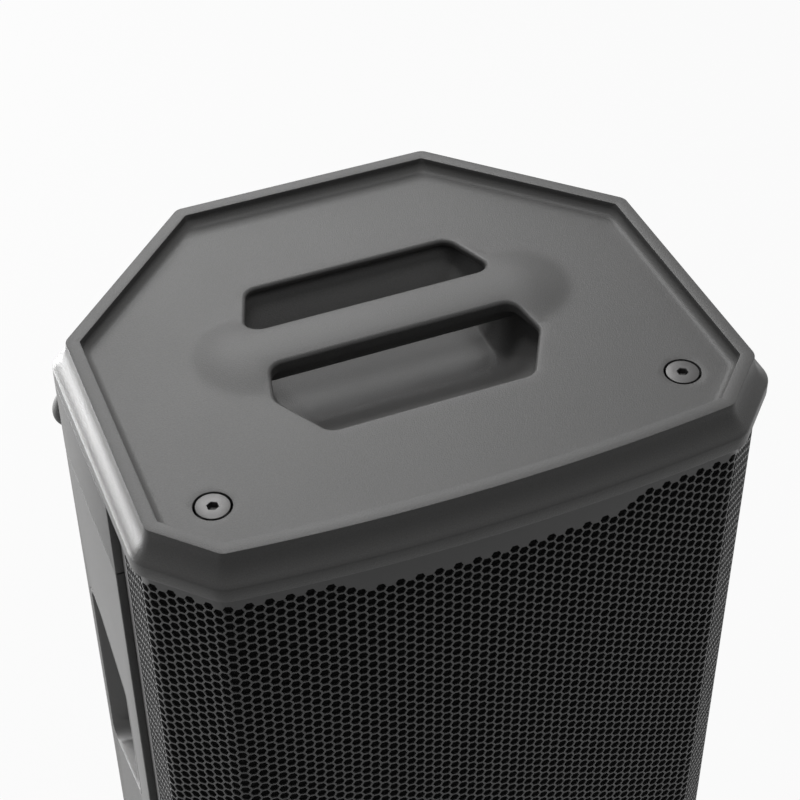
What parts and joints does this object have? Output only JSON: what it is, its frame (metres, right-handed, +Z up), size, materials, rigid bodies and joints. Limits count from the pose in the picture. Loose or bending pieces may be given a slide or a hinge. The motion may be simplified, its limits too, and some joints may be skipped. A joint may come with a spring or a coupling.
{
  "type": "portable powered loudspeaker",
  "caption": "Portable two-way powered loudspeaker with moulded octagonal enclosure, wrapped perforated grille, carry handle in the top cap, side handle recesses and a rear amplifier plate.",
  "frame": {"origin": "centre of the bounding box's underside, on the floor under the rubber feet", "axes": "+Z up, the grille faces -Y, the amplifier plate faces +Y, +X is to the right of a person who looks at the grille"},
  "size_m": [0.3974, 0.3319, 0.665],
  "materials": {
    "black_plastic": "fine sandy moulded texture, satin",
    "recess_plastic": "moulded, satin",
    "grille_steel": "powder coated, perforated",
    "bolt_steel": "black oxide",
    "foam": "open-cell foam",
    "rubber": "matt",
    "socket_plastic": "satin",
    "baffle_wood": "black stained plywood",
    "frame_metal": "cast, black",
    "paper_cone": "pressed pulp",
    "coil_copper": "enamelled wire",
    "spider_cloth": "woven",
    "motor_steel": "zinc plated",
    "magnet": "ceramic",
    "titanium": "thin foil",
    "plate_aluminium": "black anodised",
    "display_glass": "clear acrylic over a dark display",
    "knob_plastic": "soft touch",
    "part_metal": "plated",
    "jack_plastic": "moulded nylon",
    "latch_metal": "plated",
    "board": "solder mask",
    "capacitor_sleeve": "shrink sleeve",
    "transformer_tape": "tape over ferrite"
  },
  "bodies": {
    "root": {"top_cap": "black_plastic", "bottom_cap": "black_plastic", "side_panel_left": "black_plastic", "side_panel_right": "black_plastic", "shoulder_band": "black_plastic", "front_shell": "black_plastic", "rear_shell": "black_plastic", "handle_pocket": "recess_plastic", "handle_cup_left": "recess_plastic", "handle_cup_right": "recess_plastic", "port_tubes": "recess_plastic", "horn": "recess_plastic", "grille": "grille_steel", "top_bolts": "bolt_steel", "suspension_posts": "bolt_steel", "bottom_screws": "bolt_steel", "woofer_screws": "bolt_steel", "plate_screws": "bolt_steel", "grille_foam": "foam", "damping_pads": "foam", "bottom_feet": "rubber", "monitor_feet": "rubber", "woofer_surround": "rubber", "pole_socket": "socket_plastic", "baffle": "baffle_wood", "woofer_frame": "frame_metal", "driver_front_plate": "frame_metal", "driver_cover": "frame_metal", "woofer_spider": "spider_cloth", "woofer_top_plate": "motor_steel", "woofer_yoke": "motor_steel", "driver_yoke": "motor_steel", "woofer_magnet": "magnet", "driver_magnet": "magnet", "amp_plate": "plate_aluminium", "heatsink": "plate_aluminium", "display_window": "display_glass", "encoder_body": "part_metal", "gain_pots": "part_metal", "amp_chassis": "part_metal", "combo_jacks": "jack_plastic", "line_outputs": "jack_plastic", "mains_inlet": "jack_plastic", "switch_housing": "jack_plastic", "amp_board": "board", "power_supply_board": "board", "capacitors": "capacitor_sleeve", "transformer": "transformer_tape"},
    "woofer_moving_part": {"woofer_cone": "paper_cone", "dust_cap": "paper_cone", "voice_coil": "coil_copper"},
    "driver_moving_part": {"driver_diaphragm": "titanium"},
    "encoder_plunger_body": {"encoder_plunger": "part_metal"},
    "encoder_knob_body": {"encoder_knob": "knob_plastic"},
    "gain_knob_a_body": {"gain_knob_a": "knob_plastic"},
    "gain_knob_b_body": {"gain_knob_b": "knob_plastic"},
    "switch_rocker_body": {"switch_rocker": "knob_plastic"},
    "latch_tab_a_body": {"latch_tab_a": "latch_metal"},
    "latch_tab_b_body": {"latch_tab_b": "latch_metal"},
    "fuse_drawer_body": {"fuse_drawer": "knob_plastic"}
  },
  "joints": [
    {"name": "woofer_cone_slide", "type": "slide", "parent": "root", "child": "woofer_moving_part", "axis": [0, -1, 0], "range_m": [-0.006, 0.006], "stiffness_N_per_m": 2500, "deforming": ["woofer_surround", "woofer_spider"]},
    {"name": "driver_diaphragm_slide", "type": "slide", "parent": "root", "child": "driver_moving_part", "axis": [0, -1, 0], "range_m": [-0.0003, 0.0003], "stiffness_N_per_m": 4000},
    {"name": "encoder_push", "type": "slide", "parent": "root", "child": "encoder_plunger_body", "axis": [0, -1, 0], "range_m": [0, 0.0008], "stiffness_N_per_m": 800, "springref_m": -0.0005},
    {"name": "encoder_turn", "type": "hinge", "parent": "encoder_plunger_body", "child": "encoder_knob_body", "pos_m": [-0.052, 0.15, 0.4585], "axis": [0, 1, 0], "continuous": true},
    {"name": "gain_a_turn", "type": "hinge", "parent": "root", "child": "gain_knob_a_body", "pos_m": [0.04, 0.15, 0.3925], "axis": [0, 1, 0], "range_deg": [-150, 150]},
    {"name": "gain_b_turn", "type": "hinge", "parent": "root", "child": "gain_knob_b_body", "pos_m": [-0.04, 0.15, 0.3925], "axis": [0, 1, 0], "range_deg": [-150, 150]},
    {"name": "power_rock", "type": "hinge", "parent": "root", "child": "switch_rocker_body", "pos_m": [0.038, 0.148, 0.1245], "axis": [1, 0, 0], "range_deg": [-16, 0]},
    {"name": "latch_a_press", "type": "slide", "parent": "root", "child": "latch_tab_a_body", "axis": [0, -1, 0], "range_m": [0, 0.0014], "stiffness_N_per_m": 400, "springref_m": -0.0005},
    {"name": "latch_b_press", "type": "slide", "parent": "root", "child": "latch_tab_b_body", "axis": [0, -1, 0], "range_m": [0, 0.0014], "stiffness_N_per_m": 400, "springref_m": -0.0005},
    {"name": "fuse_drawer_pull", "type": "slide", "parent": "root", "child": "fuse_drawer_body", "axis": [0, 1, 0], "range_m": [0, 0.012]}
  ]
}
